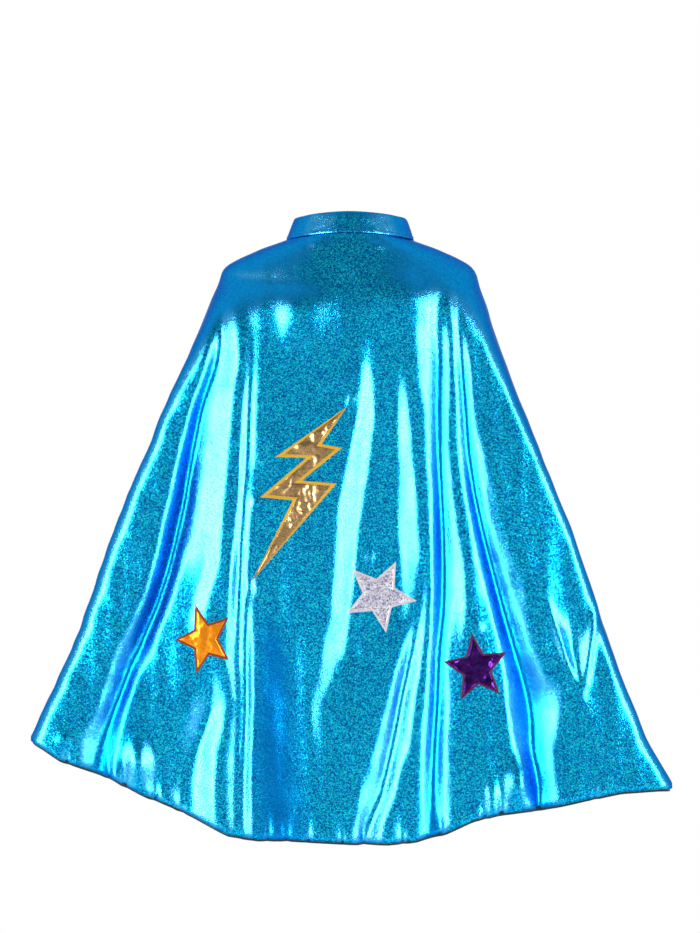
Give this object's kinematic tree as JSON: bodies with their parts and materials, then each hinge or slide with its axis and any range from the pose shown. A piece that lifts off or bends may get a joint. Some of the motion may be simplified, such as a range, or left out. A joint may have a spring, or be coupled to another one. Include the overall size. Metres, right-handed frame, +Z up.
{
  "type": "superhero cape",
  "caption": "Child's flared cape of metallic cloth with a dark lining, a stand collar closed by a hook-and-loop tab, and bolt and star appliques on the back.",
  "frame": {"origin": "centre of the neck ring, about level with the back of the collar seam", "axes": "+Z up, out of the collar; -Y towards the wearer's back, which carries the appliques; +Y towards the front, where the collar closes; +X towards the wearer's right"},
  "size_m": [0.7064, 0.2, 0.6754],
  "materials": {
    "metallic_cloth": "foiled, glossy with a fine grain",
    "lining_cloth": "satin",
    "interfacing": "matt",
    "blue_thread": "satin",
    "tape": "matt",
    "label_ribbon": "satin",
    "gold_foil": "mirror foil",
    "gold_thread": "satin",
    "silver_foil": "glittering foil",
    "pale_thread": "satin",
    "orange_foil": "mirror foil",
    "orange_thread": "satin",
    "purple_foil": "mirror foil",
    "magenta_thread": "satin"
  },
  "bodies": {
    "cape": {"cape_shell": "metallic_cloth", "cape_lining": "lining_cloth", "collar_outer": "metallic_cloth", "collar_interfacing": "interfacing", "collar_lining": "lining_cloth", "collar_topstitching": "blue_thread", "loop_tape": "tape", "lightning_bolt": "gold_foil", "bolt_edging": "gold_thread", "silver_star": "silver_foil", "silver_star_edging": "pale_thread", "orange_star": "orange_foil", "orange_star_edging": "orange_thread", "purple_star": "purple_foil", "purple_star_edging": "magenta_thread"},
    "closure_tab": {"tab_outer": "metallic_cloth", "tab_interfacing": "interfacing", "tab_lining": "lining_cloth", "hook_tape": "tape"},
    "label": {"care_label": "label_ribbon"}
  },
  "joints": [
    {"name": "tab_peel", "type": "hinge", "parent": "cape", "child": "closure_tab", "pos_m": [0.01708, 0.05891, -0.0027], "axis": [0.0881, 0.3423, -0.9355], "range_deg": [0, 110]},
    {"name": "label_flip", "type": "hinge", "parent": "cape", "child": "label", "pos_m": [0, -0.0576, -0.0015], "axis": [1, 0, 0], "range_deg": [0, 80]}
  ]
}
